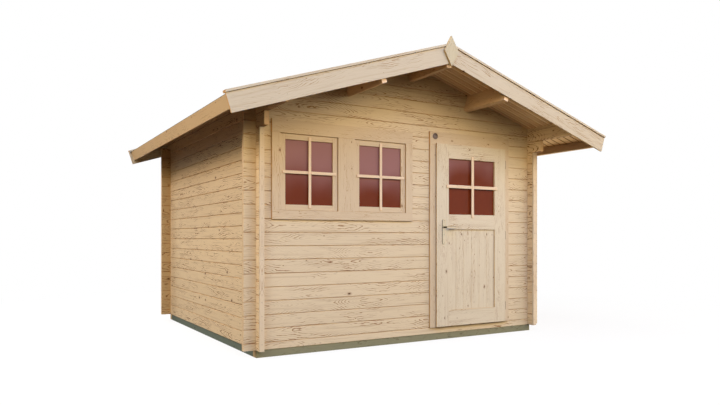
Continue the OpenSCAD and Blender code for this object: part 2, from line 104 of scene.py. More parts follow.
SCREW_HEAD = (0.0045, 0.001)
CLOUT_HEAD = (0.0045, 0.0006)
NAIL_HEAD = (0.0028, 0.0005)
CYLINDER_FACE = (0.0085, 0.0012)
HEAD_SIDES = 12
DOME_INSET = 0.35
DOME_RISE = 0.5
RECESS_INSET = 0.22
RECESS_DEPTH = 0.35
SCREW_MARGIN = 0.014
CYLINDER_DROP = 0.063
KEYHOLE_HALF_WIDTH = 0.0012
KEYHOLE_HALF_HEIGHT = 0.005
KEYHOLE_REACH = 0.0022
KEYHOLE_EASED = 0.0006
BARGEBOARD_NAIL_DROP = 0.075
BARGEBOARD_NAIL_PAIR = 0.03
FIRST_BARGEBOARD_NAIL = 0.03

# ---- Lamps: name, bearing, height, size in metres, watts, colour ----
# A bearing is counted in degrees from the front toward the left, a height in degrees.

LAMPS = (
    ("Left_low", 90, 26, 3.2, 310, (1.0, 0.757, 0.505)),
    ("Left_high", 88, 36, 3.2, 232, (1.0, 0.95, 1.0)),
    ("Front_left_low", 50, 17, 5.0, 250, (1.0, 0.8, 0.48)),
    ("Front_left_high", 50, 44, 7.0, 300, (0.49, 0.706, 1.0)),
    ("Front_low", 10, 18, 5.0, 420, (1.0, 0.72, 0.41)),
    ("Front_high", 0, 44, 7.0, 560, (0.1, 0.38, 1.0)),
    ("Front_right_low", -30, 19, 5.0, 415, (1.0, 0.78, 0.46)),
    ("Right_low", -65, 15, 5.0, 430, (1.0, 0.84, 0.7)),
    ("Rear", 165, 32, 6.0, 900, (1.0, 0.97, 0.9)),
)
LAMP_DISTANCE = 10
LAMP_AIM = Vector((-0.5, -0.6, 1.2))
BOUNCE_SIZE = (1.6, 3.2)
BOUNCE_PLACE = (HALF_WIDTH + 1.0, 0.0, 0.02)
BOUNCE_WATTS = 48
BOUNCE_COLOUR = (1.0, 0.92, 0.66)
SKY = (0.005, 0.005, 0.005, 1.0)
WHITE = (1.0, 1.0, 1.0, 1.0)
OFF_WHITE = (0.95, 0.95, 0.95, 1.0)

# ---- Camera, in metres, millimetres and degrees ----

EYE = (-3.414, -6.0815, 0.991)
EYE_TURN = -30.407
EYE_SHIFT = 0.0486
LENS = 31.34
SENSOR = 36

ALONG_X, ALONG_Y, ALONG_Z = range(3)
LEFT, RIGHT, UP = Vector((-1, 0, 0)), Vector((1, 0, 0)), Vector((0, 0, 1))

dice = random.Random(7)


# ---- Shader sums ----


def math_node(operation):
    """A method of Wire that adds one Math node, with the wire as its first term."""
    return lambda wire, *others: wire.maths(operation, wire, *others)


class Wire:
    """An output of a node. Sums on it add Math nodes to its tree."""

    def __init__(self, nodes, socket):
        self.nodes = nodes
        self.socket = socket

    def maths(self, operation, *terms):
        return self.nodes.node("ShaderNodeMath", dict(enumerate(terms)), {"operation": operation})

    def __rsub__(self, other):
        return self.maths("SUBTRACT", other, self)

    __add__ = __radd__ = math_node("ADD")
    __sub__ = math_node("SUBTRACT")
    __mul__ = __rmul__ = math_node("MULTIPLY")
    __truediv__ = math_node("DIVIDE")
    __abs__ = math_node("ABSOLUTE")
    __gt__ = math_node("GREATER_THAN")
    __lt__ = math_node("LESS_THAN")
    floor = math_node("FLOOR")
    fract = math_node("FRACT")
    root = math_node("SQRT")
    sign = math_node("SIGN")
    at_least = math_node("MAXIMUM")
    folded = math_node("PINGPONG")  # runs up and down between 0 and a width


MIX_SHARE, MIX_FIRST, MIX_SECOND, MIX_COLOUR = 0, 6, 7, 2


class Nodes:
    """A node tree that is filled one node at a time."""

    def __init__(self, tree):
        self.tree = tree
        tree.nodes.clear()

    def node(self, kind, sockets=None, settings=None, output=0):
        """Adds a node of a kind, sets its settings and then its sockets, and returns one of its outputs."""
        made = self.tree.nodes.new(kind)
        for name, value in (settings or {}).items():
            setattr(made, name, value)
        for name, value in (sockets or {}).items():
            if isinstance(value, Wire):
                self.tree.links.new(value.socket, made.inputs[name])
            else:
                made.inputs[name].default_value = value
        return Wire(self, made.outputs[output]) if made.outputs else None

    def parts(self, vector):
        """The three parts of a vector or colour."""
        split = self.node("ShaderNodeSeparateXYZ", {0: vector})
        return [Wire(self, output) for output in split.socket.node.outputs]

    def vector(self, x, y, z):
        return self.node("ShaderNodeCombineXYZ", {0: x, 1: y, 2: z})

    def smooth(self, value, low, high):
        """0 below low, 1 above high and a soft step between; a high under low turns it round."""
        sockets = {"Value": value, "From Min": low, "From Max": high}
        return self.node("ShaderNodeMapRange", sockets, {"interpolation_type": "SMOOTHSTEP"})

    def blend(self, share, first, second, kind="MIX"):
        """Mixes two colours."""
        settings = {"data_type": "RGBA", "blend_type": kind}
        sockets = {MIX_SHARE: share, MIX_FIRST: first, MIX_SECOND: second}
        return self.node("ShaderNodeMix", sockets, settings, MIX_COLOUR)

    def tinted(self, share, tone, tint):
        """A tone multiplied by a tint, as far as a share says."""
        return self.blend(share, tone, tint, "MULTIPLY")

    def noise(self, vector, scale=1.0, detail=2.0):
        sockets = {"Vector": vector, "Scale": scale, "Detail": detail}
        return self.node("ShaderNodeTexNoise", sockets)

    def chances(self, seed):
        """Three random numbers from 0 to 1 that belong to a seed."""
        settings = {"noise_dimensions": "1D"}
        return self.parts(self.node("ShaderNodeTexWhiteNoise", {"W": seed}, settings, "Color"))

    def attribute(self, name, output):
        """A value that the mesh carries."""
        return self.node("ShaderNodeAttribute", None, {"attribute_name": name}, output)

    def place(self):
        """The point's own place, in metres."""
        return self.node("ShaderNodeTexCoord", output="Object")

    def facing(self):
        """The three parts of the direction in which the surface faces."""
        return self.parts(self.node("ShaderNodeTexCoord", output="Normal"))

    def bump(self, height, strength, distance):
        sockets = {"Height": height, "Strength": strength, "Distance": distance}
        return self.node("ShaderNodeBump", sockets)

    def mixed(self, share, first, second):
        """Mixes two shaders."""
        return self.node("ShaderNodeMixShader", {0: share, 1: first, 2: second})


class Finish(Nodes):
    """The nodes of a new material."""

    def __init__(self, name):
        self.material = bpy.data.materials.new(name)
        self.material.use_nodes = True
        super().__init__(self.material.node_tree)

    def principled(self, **sockets):
        """A Principled shader; spaces in socket names are written as underscores."""
        named = {name.replace("_", " "): value for name, value in sockets.items()}
        return self.node("ShaderNodeBsdfPrincipled", named)

    def closed(self, shader):
        """The material, with a shader as its surface."""
        self.node("ShaderNodeOutputMaterial", {"Surface": shader})
        return self.material

    def surface(self, **sockets):
        """The material, with a Principled shader as its surface."""
        return self.closed(self.principled(**sockets))


def shade(red, green, blue):
    """A colour written from 0 to 255, in linear values."""
    def linear(part):
        part /= 255
        return part / 12.92 if part <= 0.04045 else ((part + 0.055) / 1.055) ** 2.4
    return (linear(red), linear(green), linear(blue), 1.0)


def dimmed(colour, share):
    """A colour at a share of its light."""
    return tuple(part * share for part in colour[:3]) + (1.0,)


# ---- Grain: where a point lies in its board ----
# The factors in the seeds only give each board a number of its own.

TURNED = 0.8
HALF_TURNED = 0.5
HEART = 0.09
EDGE_HEART = 0.02
PATTERN_SHIFT = 37
WIDE_CELL = 1.0
PURLIN_CELL = 0.4
BASE_CELL = 0.3


@dataclass
class Grain:
    """A point's place along the grain, across the face and behind it, its board's seed, and 1 on cut ends."""

    finish: Finish
    along: Wire
    across: Wire
    depth: Wire
    seed: Wire
    end: Wire

    def __post_init__(self):
        self.chances = self.finish.chances(self.seed)
        self.shift = self.chances[0] * PATTERN_SHIFT + self.seed

    def noise(self, along, across, detail=1.0, through=True):
        """Noise by its waves a metre along the grain and across it, through the wood or at its face alone."""
        third = self.depth * across + self.shift if through else self.shift
        place = self.finish.vector(self.along * along, self.across * across, third)
        return self.finish.noise(place, detail=detail)


def end_faces(finish, axis):
    """1 on the faces that cut across an axis."""
    return abs(finish.facing()[axis]) > TURNED


def inward_faces(finish, axis, side):
    """1 on the faces that look back along an axis toward the middle of the house."""
    return finish.facing()[axis] * side < -HALF_TURNED


def front_log_grain(finish):
    """Courses of the front and rear walls, offset by half a log."""
    x, y, z = finish.parts(finish.place())
    course = (z - (BASE_TOP + HALF_COURSE)) / COURSE
    side = y - MIDDLE_Y
    across = (course.fract() - 0.5) * COURSE
    seed = course.floor() * 3.71 + side.sign() * 57.3
    return Grain(finish, x, across, HALF_DEPTH - abs(side), seed, end_faces(finish, ALONG_X))


def side_log_grain(finish):
    """Courses of the side walls."""
    x, y, z = finish.parts(finish.place())
    course = (z - BASE_TOP) / COURSE
    across = (course.fract() - 0.5) * COURSE
    seed = course.floor() * 5.13 + x.sign() * 83.9
    return Grain(finish, y, across, HALF_WIDTH - abs(x), seed, end_faces(finish, ALONG_Y))


def beam_grain(axis, cell=WIDE_CELL):
    """Whole timbers along X, Y or Z; cell is the spacing of neighbours in the other two directions."""
    def grain(finish):
        parts = finish.parts(finish.place())
        along = parts.pop(axis)
        seed = (parts[1] / cell).floor() * 7.9 + (parts[0] / cell).floor() * 2.3 + 11.7
        across = parts[1].folded(HEART) - HEART / 2
        return Grain(finish, along, across, parts[0].folded(HEART), seed, end_faces(finish, axis))
    return grain


def slope_grain(finish):
    """Boards that run down both roof slopes."""
    x, y, z = finish.parts(finish.place())
    drop = z - GABLE_PEAK
    along = abs(x) * math.cos(PITCH) - drop * math.sin(PITCH)
    across = abs(x) * math.sin(PITCH) + drop * math.cos(PITCH) + EDGE_HEART
    seed = x.sign() * 31.7 + (y - MIDDLE_Y).sign() * 12.9
    return Grain(finish, along, across, EDGE_FACE - abs(y), seed, end_faces(finish, ALONG_X))


def own_grain(finish):
    """Boards that carry their grain as an attribute."""
    along, across, depth = finish.parts(finish.attribute("grain", "Vector"))
    end = finish.attribute("end", "Fac") > 0.5
    return Grain(finish, along, across, depth, finish.attribute("board", "Fac"), end)


# ---- Looks of the wood ----

KNOT = shade(70, 36, 16)
PINE_KNOT = shade(54, 44, 32)
TRIM_LATE = shade(146, 108, 66)
CUT_END = shade(224, 190, 146)
LOG_JOINT_SHADE = shade(104, 56, 10)
BEVEL_PAINTED_LIGHT = shade(250, 232, 200)
BEVEL_PAINTED_SHADE = shade(120, 78, 40)
SIDE_SHADE_TINT = (1.0, 0.76, 0.5, 1.0)
CORNER_SHADE_TINT = (0.97, 0.9, 0.8, 1.0)
STUB_SHADE_TINT = (0.84, 0.72, 0.56, 1.0)
INNER_SHADE_TINT = (0.66, 0.66, 0.86, 1.0)


@dataclass
class Look:
    """Colours and strengths of one kind of wood."""

    early: tuple
    late: tuple
    knot: tuple = KNOT
    cut: tuple = CUT_END
    contrast: float = 0.8  # of the late wood
    knots: float = 0.3  # share of the places that have a knot
    ring: float = 0.014  # width of a ring, in metres
    flames: float = 0.2  # how far the rings wander along a board
    dashes: float = 0.3  # of the resin streaks
    spread: float = 0.05  # between a pale board and a dark one
    joints: float = 0.0  # painted shade in the grooves between logs
    sides: float = 0.0  # painted warm shade on narrow sides
    bevel: float = 0.0  # half the width of a board whose bevels get painted highlight and shade
    rough: float = 0.62
    corners: bool = False  # painted shade beside the corner crossings and on the stubs beyond them
    inner: bool = False  # painted shade on the faces that look inwards


SPRUCE = Look(
    shade(207, 196, 172), shade(122, 80, 34), contrast=1.1, knots=0.1, ring=0.017, flames=0.34, dashes=0.6,
    joints=0.7, sides=0.35, corners=True,
)
# Side-wall logs: a paler, warmer copy of the front logs' look, partly their own tone and partly painted light
# that the side walls get.
SIDE_LIT_SPRUCE = Look(
    shade(222, 202, 168), shade(118, 68, 20), contrast=1.2, knots=0.34, ring=0.017, flames=0.34, dashes=0.6,
    joints=1.0, sides=0.4,
)
TRIM_SPRUCE = Look(shade(199, 186, 163), TRIM_LATE, knots=0.45, spread=0.02, sides=0.9)
POST_SPRUCE = Look(shade(208, 196, 174), TRIM_LATE, contrast=0.7, knots=0.2, spread=0.02)
EDGE_SPRUCE = Look(
    shade(190, 182, 163), shade(138, 106, 68), contrast=1.5, knots=0.12, ring=0.015, flames=0.3, spread=0.03,
    sides=0.9,
)
DIAMOND_SPRUCE = Look(
    shade(185, 178, 154), shade(146, 122, 88), contrast=0.35, knots=0.0, dashes=0.0, sides=0.9,
)
DOOR_SPRUCE = Look(
    shade(205, 199, 181), shade(138, 100, 58), contrast=1.1, knots=0.5, flames=0.3, dashes=0.6, spread=0.0,
    sides=0.9,
)
BAR_SPRUCE = Look(
    shade(218, 202, 180), shade(170, 140, 110), contrast=0.3, knots=0.05, spread=0.02, sides=0.5,
)
BOARD_SPRUCE = Look(shade(220, 188, 142), shade(152, 104, 60))
SOFFIT_SPRUCE = Look(shade(212, 180, 140), shade(140, 94, 52), spread=0.1, bevel=ROOF_BOARD_HALF)
BEAM_SPRUCE = Look(shade(212, 184, 148), shade(154, 108, 64), cut=shade(226, 212, 192))
EAVE_SPRUCE = Look(
    shade(206, 178, 136), shade(136, 90, 48), contrast=0.45, knots=0.4, dashes=0.15, inner=True,
)
GREEN_PINE = Look(shade(132, 134, 112), shade(92, 90, 72), PINE_KNOT, knots=0.25, rough=0.8)
SIDE_PINE = Look(shade(104, 115, 106), shade(74, 80, 70), PINE_KNOT, knots=0.25, rough=0.8)


# ---- Marks in the wood, in metres ----

KNOT_CELL = 0.12
KNOT_STRETCH = 1.8
KNOT_RADIUS = 0.0026
KNOT_GROWTH = 0.007
KNOT_RAGGED = 0.003
RING_SWELL = 0.02
RING_WANDER = 0.034
RING_RAGGED = 0.008
PITH_SIDEWAYS = 0.06
PITH_BEHIND = 0.002
PITH_DEEPER = 0.008
RESIN_STREAK = (0.66, 0.8)
GROOVE_FLOOR = 0.0004
GROOVE_LIP = 0.002
GROOVE_UNEVEN = 0.003
BEVEL_REACH = (0.009, 0.006)
TONGUE_REACH = (0.0035, 0.002)
SHADE_START = 0.02
CORNER_REACH = 0.16
FIBRE_RELIEF = 0.0006

# ---- Shares of the marks in a board's tone ----

RING_LEAST = 0.2
CLOUD_LEAST = 0.12
RIM_RINGS = 0.4
RIM_SHARE = 0.35
CORE_SHARE = 0.92
BAND_SHARE = 0.2
BAND_CONTRAST = 1.3
END_SHARE = 0.5
END_RINGS = 0.1
SEAM_SHARE = 0.9
TONGUE_SHARE = 0.5
PLAIN_LIGHT = 0.98
FIBRE_LIGHT = 0.12


def knot_marks(grain, look):
    """Nearest knot, longer along the grain: its dark core, its warm rim and the swell of the rings."""
    finish = grain.finish
    along = grain.along / (KNOT_CELL * KNOT_STRETCH) + grain.shift
    place = finish.vector(along, grain.across / KNOT_CELL + grain.shift * 1.7, 0.0)
    cells = {"voronoi_dimensions": "2D"}
    sockets = {"Vector": place, "Scale": 1.0, "Randomness": 0.9}
    distance = finish.node("ShaderNodeTexVoronoi", sockets, cells, "Distance") * KNOT_CELL
    chosen, size = finish.parts(finish.node("ShaderNodeTexVoronoi", sockets, cells, "Color"))[:2]
    there = (chosen < look.knots) * (1 - grain.end)
    radius = KNOT_RADIUS + size * size * size * KNOT_GROWTH
    ragged = grain.noise(along=160, across=220, detail=2.0, through=False) - 0.5
    near = distance + ragged * KNOT_RAGGED
    core = finish.smooth(near, radius, radius * 0.6) * there
    rim = finish.smooth(near, radius * 2.4, radius * 0.9) * there
    swell = finish.smooth(distance, radius * 5.5, 0.0) * there
    return core, rim, swell


def ring_marks(grain, swell, look):
    """Thin broken lines of late wood, nested like arrows, where a board cuts the rings of its trunk."""
    finish = grain.finish
    taper = finish.noise(finish.vector(grain.along * 1.4 + grain.shift, grain.shift, 0.0), detail=0.0)
    bends = finish.vector(grain.along * 9, grain.across * 14 + grain.shift, grain.depth * 14)
    wander = (taper - 0.5) * look.flames
    wander += (finish.noise(bends, detail=1.0) - 0.5) * RING_WANDER
    wander += (grain.noise(along=34, across=70) - 0.5) * RING_RAGGED
    from_pith = grain.across - (grain.chances[0] - 0.5) * PITH_SIDEWAYS
    behind = grain.depth + PITH_BEHIND + grain.chances[2] * PITH_DEEPER
    radius = (from_pith * from_pith + behind * behind).root()
    phase = ((radius + wander + swell * RING_SWELL) / look.ring).fract()
    line = finish.smooth(phase, 0.6, 0.88) * finish.smooth(phase, 1.0, 0.93)
    unbroken = finish.smooth(grain.noise(along=8, across=45, through=False), 0.44, 0.56)
    return line * (RING_LEAST + (1 - RING_LEAST) * unbroken) * (1 - grain.end * (1 - END_RINGS))


def dash_marks(grain, look):
    """Short dark streaks of resin along the grain."""
    finish = grain.finish
    patches = finish.smooth(grain.noise(along=3, across=20, through=False), 0.45, 0.65)
    return finish.smooth(grain.noise(along=16, across=150), *RESIN_STREAK) * patches * look.dashes


def joint_shade(grain, look):
    """Painted shade in the groove between two logs, a little uneven along it."""
    finish = grain.finish
    uneven = finish.noise(finish.vector(grain.along * 7, grain.seed, grain.seed), detail=3.0)
    edge = HALF_COURSE - abs(grain.across)
    groove = finish.smooth(edge, GROOVE_LIP + uneven * GROOVE_UNEVEN, GROOVE_FLOOR)
    return groove * finish.smooth(uneven, 0.25, 0.7) * look.joints


def bevel_light_and_shade(grain, look, tone):
    """Painted highlight on the bevels and along each board's middle over the front and back, and painted
    shade on the bevels out beyond the side walls.
    """
    finish = grain.finish
    from_middle = abs(finish.parts(finish.place())[0])
    outside = finish.smooth(from_middle, HALF_WIDTH, HALF_WIDTH + SHADE_START)
    seam = finish.smooth(look.bevel - abs(grain.across), *BEVEL_REACH) * SEAM_SHARE
    tongue = finish.smooth(abs(grain.across), *TONGUE_REACH) * TONGUE_SHARE
    tone = finish.blend(seam * (1 - outside), tone, BEVEL_PAINTED_LIGHT)
    tone = finish.blend(tongue * (1 - outside), tone, BEVEL_PAINTED_LIGHT)
    return finish.blend(seam * outside, tone, BEVEL_PAINTED_SHADE)


def side_shade_tint(finish, look, tone):
    """Paints warm shade on the narrow sides and bevels of boards and logs."""
    facing = finish.facing()
    turned = abs(facing[2]) if look.joints else 1 - abs(facing[1])
    return finish.tinted(finish.smooth(turned, 0.3, 0.6) * look.sides, tone, SIDE_SHADE_TINT)


def corner_shade_tint(finish, tone):
    """Paints warm shade on the logs beside the corner crossings, and darker shade on what looks inwards out
    beyond them.
    """
    x, y, z = finish.parts(finish.place())
    beside = finish.smooth(abs(abs(x) - HALF_WIDTH), CORNER_REACH, 0.0)
    tone = finish.tinted(beside, tone, CORNER_SHADE_TINT)
    inward = inward_faces(finish, ALONG_Y, (y - MIDDLE_Y).sign())
    return finish.tinted((abs(x) > HALF_WIDTH) * inward, tone, STUB_SHADE_TINT)


def inner_shade_tint(finish, tone):
    """Paints shade on the faces that look inwards, under the eaves."""
    side = finish.parts(finish.place())[0].sign()
    return finish.tinted(inward_faces(finish, ALONG_X, side), tone, INNER_SHADE_TINT)


def place_light_and_shade(grain, look, tone):
    """The painted shade and light that a board has from its place on the house."""
    finish = grain.finish
    if look.joints:
        tone = finish.blend(joint_shade(grain, look), tone, LOG_JOINT_SHADE)
    if look.sides:
        tone = side_shade_tint(finish, look, tone)
    if look.corners:
        tone = corner_shade_tint(finish, tone)
    if look.inner:
        tone = inner_shade_tint(finish, tone)
    if look.bevel:
        tone = bevel_light_and_shade(grain, look, tone)
    return tone


def wood(name, grain_of, look):
    """Planed softwood: rings cut by the face, fibres, knots, a tone of its own for each board, and painted
    shade and light from its place on the house.
    """
    finish = Finish(name)
    grain = grain_of(finish)
    core, rim, swell = knot_marks(grain, look)
    rings = ring_marks(grain, swell, look)
    fibres = finish.noise(finish.vector(grain.along * 9, grain.across * 420, grain.depth * 420), detail=3.0)
    bands = finish.smooth(grain.noise(along=1.6, across=55, detail=3.0), 0.52, 0.75)
    clouds = finish.smooth(grain.noise(along=2.1, across=9, detail=2.0, through=False), 0.43, 0.58)
    boldness = look.contrast * (0.5 + grain.chances[1] * 0.5)
    strength = boldness * (CLOUD_LEAST + (1 - CLOUD_LEAST) * clouds) + rim * RIM_RINGS
    tone = finish.blend(rings * strength, look.early, look.late)
    tone = finish.blend(bands * (min(look.contrast, BAND_CONTRAST) * BAND_SHARE), tone, look.late)
    tone = finish.blend(rim * RIM_SHARE, tone, look.late)
    tone = finish.blend(core * CORE_SHARE, tone, look.knot)
    tone = finish.blend(grain.end * END_SHARE, tone, look.cut)
    tone = finish.blend(dash_marks(grain, look), tone, look.knot)
    tone = place_light_and_shade(grain, look, tone)
    light = PLAIN_LIGHT + (grain.chances[2] - 0.5) * look.spread + (fibres - 0.5) * FIBRE_LIGHT
    tone = finish.tinted(1.0, tone, finish.vector(light, light, light))
    relief = fibres * 0.5 + rings * 0.25 - core * 0.6
    return finish.surface(
        Base_Color=tone,
        Roughness=look.rough + (fibres - 0.5) * 0.2 - rings * 0.06,
        Normal=finish.bump(relief, 0.35, FIBRE_RELIEF),
        Specular_IOR_Level=0.15,
    )


# ---- Other finishes ----

GRANULES = 520.0
FELT_DARK = shade(60, 52, 43)
FELT_PALE = shade(102, 91, 78)
FELT_PATCH = shade(76, 66, 54)
FELT_EDGE = shade(62, 38, 18)
BRONZE_DARK = shade(108, 46, 22)
BRONZE = shade(120, 55, 28)
PANE_REFLECTION = shade(158, 118, 120)
PANE_REFLECTION_HEIGHTS = (1.3, 1.7)
PANE_REFLECTION_SIDE = (0.2, 0.6)
SEEN_THROUGH = (0.62, 0.20, 0.09, 1.0)
NICKEL = shade(226, 210, 182)
ZINC = shade(150, 138, 122)
DISC_PALE = shade(156, 134, 120)
DISC_DARK = shade(108, 90, 80)
DISC_GROOVE_SHADE = shade(52, 40, 34)
DISC_GROOVE_RADIUS = 0.021
DISC_TURNS = 1500


def felt_finish():
    """Mineral roofing felt: slate granules pressed into bitumen, which shows at the cut edge."""
    finish = Finish("Roofing_felt")
    place = finish.place()
    granules = finish.node("ShaderNodeTexVoronoi", {"Vector": place, "Scale": GRANULES}, output="Color")
    grit = finish.parts(granules)[0]
    patches = finish.smooth(finish.noise(place, scale=2.3, detail=4.0), 0.35, 0.75)
    tone = finish.blend(grit, FELT_DARK, FELT_PALE)
    tone = finish.blend(patches * 0.5, tone, FELT_PATCH)
    return finish.surface(
        Base_Color=finish.blend(end_faces(finish, ALONG_Y), tone, FELT_EDGE),
        Roughness=0.86 + grit * 0.1,
        Normal=finish.bump(grit, 0.5, 0.001),
        Specular_IOR_Level=0.3,
    )


def glass_finish():
    """Bronze-tinted pane: its own brown over a view of the inside, with a painted reflection that makes it
    paler and mauve toward the top.
    """
    finish = Finish("Window_glass")
    place = finish.place()
    x, y, z = finish.parts(place)
    ripple = finish.noise(place, scale=3.0, detail=1.0)
    streaks = finish.noise(place, scale=14.0, detail=3.0)
    raised = (ripple - 0.5) * 0.3 - finish.smooth(x, *PANE_REFLECTION_SIDE) * 0.25
    painted_reflection = finish.smooth(z + raised, *PANE_REFLECTION_HEIGHTS)
    body = finish.principled(
        Base_Color=finish.blend(painted_reflection, finish.blend(streaks, BRONZE_DARK, BRONZE), PANE_REFLECTION),
        Roughness=0.03 + streaks * 0.02,
        Normal=finish.bump(ripple, 0.08, 0.002),
        IOR=1.52,
        Specular_IOR_Level=0.2,
    )
    clear = finish.node("ShaderNodeBsdfTransparent", {"Color": SEEN_THROUGH})
    return finish.closed(finish.mixed(0.78, clear, body))


def metal_finish(name, colour, roughness, scratches):
    """Metal with fine brushing along Z, faint smears, and painted shade on the narrow sides that look left
    and right.
    """
    finish = Finish(name)
    place = finish.place()
    x, y, z = finish.parts(place)
    brushing = finish.noise(finish.vector(x * 900, y * 900, z * 25), detail=2.0)
    smears = finish.noise(place, scale=35.0, detail=3.0)
    sideways = finish.smooth(abs(finish.facing()[0]), 0.3, 0.8)
    tone = finish.blend(smears * 0.6, colour, dimmed(colour, 0.7))
    return finish.surface(
        # the narrow sides that look left and right get painted shade
        Base_Color=finish.blend(sideways, tone, dimmed(colour, 0.05)),
        Metallic=1.0,
        Roughness=roughness + (smears - 0.5) * 0.16,
        Normal=finish.bump(brushing, scratches, 0.0003),
    )


def disc_finish():
    """Turned face of the round plate, with rings about its own centre and painted shade in its groove."""
    finish = Finish("Turned_metal")
    place = finish.place()
    x, y, z = finish.parts(place)
    low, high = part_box("round_plate")
    across = x - (low.x + high.x) / 2
    up = z - (low.z + high.z) / 2
    radius = (across * across + up * up).root()
    turning = (radius * DISC_TURNS).fract()
    smears = finish.noise(place, scale=60.0, detail=3.0)
    groove = finish.smooth(abs(radius - DISC_GROOVE_RADIUS), 0.0012, 0.0004)
    return finish.surface(
        Base_Color=finish.blend(groove * 0.7, finish.blend(smears, DISC_PALE, DISC_DARK), DISC_GROOVE_SHADE),
        Metallic=1.0,
        Roughness=0.38 + smears * 0.2,
        Normal=finish.bump(turning * 0.3 - groove, 0.4, 0.0004),
    )


def keyhole_shade_finish():
    """Painted shade of the inside of a keyhole."""
    finish = Finish("Keyhole_painted_shade")
    mottle = finish.noise(finish.place(), scale=300.0)
    return finish.surface(Base_Color=finish.blend(mottle, shade(18, 16, 15), shade(44, 38, 34)), Roughness=0.8)


# ---- Modelling ----

SIDEWAYS = 0.9
SEED_RANGE = (1, 400)
GRAIN_STARTS = (-3, 3)


def deselect():
    bpy.ops.object.select_all(action="DESELECT")


def choose(piece):
    """Selects one piece alone and makes it the active one."""
    deselect()
    bpy.context.view_layer.objects.active = piece
    piece.select_set(True)


def block(low, high):
    """A new box between two corners."""
    deselect()
    centre = [(a + b) / 2 for a, b in zip(low, high)]
    size = [b - a for a, b in zip(low, high)]
    bpy.ops.mesh.primitive_cube_add(size=1, location=centre, scale=size)
    bpy.ops.object.transform_apply()
    return bpy.context.object


def pick_faces(piece, wanted=lambda centre, normal: True):
    """Opens a piece in edit mode with the faces selected that a test on centre and normal wants, or all."""
    choose(piece)
    bpy.ops.object.mode_set(mode="EDIT")
    bpy.ops.mesh.select_mode(type="FACE")
    bpy.ops.mesh.select_all(action="DESELECT")
    mesh = bmesh.from_edit_mesh(piece.data)
    for face in mesh.faces:
        if wanted(face.calc_center_median(), face.normal):
            face.select_set(True)
    bmesh.update_edit_mesh(piece.data)


def close_edit():
    bpy.ops.object.mode_set(mode="OBJECT")


def cut_across(piece, point, normal, **taken):
    """Adds an edge loop all round a piece where a plane crosses it, and takes a side away if told to."""
    pick_faces(piece)
    bpy.ops.mesh.bisect(plane_co=point, plane_no=normal, **taken)
    close_edit()


def pull_out(piece, wanted, shift):
    """Extrudes some faces by a shift."""
    pick_faces(piece, wanted)
    bpy.ops.mesh.extrude_region_move(TRANSFORM_OT_translate={"value": shift})
    close_edit()


def ease(piece, width, segments=2):
    """Rounds every sharp edge of a piece."""
    choose(piece)
    bpy.ops.object.modifier_add(type="BEVEL")
    rounding = piece.modifiers[-1]
    rounding.width = width
    rounding.segments = segments
    rounding.limit_method = "ANGLE"
    rounding.angle_limit = SHARP_TURN
    bpy.ops.object.modifier_apply(modifier=rounding.name)


def new_seed(attribute, count):
    """Gives all of a board's points one new seed."""
    attribute.data.foreach_set("value", np.full(count, dice.uniform(*SEED_RANGE)))


def mark_grain(piece, axis):
    """Writes each point's place in the board, along an axis first, and a seed of the board's own."""
    mesh = piece.data
    points = np.empty(len(mesh.vertices) * 3)
    mesh.vertices.foreach_get("co", points)
    points = points.reshape(-1, 3)
    middle = (points.min(0) + points.max(0)) / 2
    size = np.ptp(points, axis=0)
    across, through = sorted((i for i in range(3) if i != axis), key=lambda i: -size[i])
    start = np.array([dice.uniform(*GRAIN_STARTS), 0, size[through] / 2])
    local = (points - middle)[:, [axis, across, through]] + start
    mesh.attributes.new("grain", "FLOAT_VECTOR", "POINT").data.foreach_set("vector", local.ravel())
    new_seed(mesh.attributes.new("board", "FLOAT", "POINT"), len(mesh.vertices))
    cut = mesh.attributes.new("end", "FLOAT", "FACE")
    cut.data.foreach_set("value", [float(abs(face.normal[axis]) > TURNED) for face in mesh.polygons])


def board(low, high, axis, edge=EASED):
    """One planed board between two corners, with its grain along an axis."""
    piece = block(low, high)
    ease(piece, edge)
    mark_grain(piece, axis)
    return piece


def twin_of(piece):
    """A copy of a piece with a mesh of its own."""
    twin = piece.copy()
    twin.data = piece.data.copy()
    bpy.context.collection.objects.link(twin)
    return twin


def copied(piece, shift):
    """A copy of a piece, moved by a shift, and with a seed of its own if it is a board."""
    twin = twin_of(piece)
    twin.data.transform(Matrix.Translation(shift))
    if "board" in twin.data.attributes:
        new_seed(twin.data.attributes["board"], len(twin.data.vertices))
    return twin


def mirrored(piece):
    """A copy of a piece on the other side of the ridge."""
    twin = twin_of(piece)
    twin.data.transform(Matrix.Scale(-1, 4, (1, 0, 0)))
    pick_faces(twin)
    bpy.ops.mesh.normals_make_consistent(inside=False)
    close_edit()
    return twin


def join(name, pieces, finish, body="house"):
    """Makes one named piece of several, with its finish and body."""
    choose(pieces[0])
    for piece in pieces[1:]:
        piece.select_set(True)
    if len(pieces) > 1:
        bpy.ops.object.join()
    whole = bpy.context.view_layer.objects.active
    whole.name = name
    whole.data.name = name
    whole.data.materials.clear()
    whole.data.materials.append(finish)
    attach(whole, body)
    return whole


# ---- Window ----


def flat_frame(name, node, finish, parts):
    """Boards as thick as a node that replace it, each between two corners in x and z and along an axis."""
    low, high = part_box(node)
    boards = [board((x0, low.y, z0), (x1, high.y, z1), axis) for x0, z0, x1, z1, axis in parts]
    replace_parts(join(name, boards, finish), node)


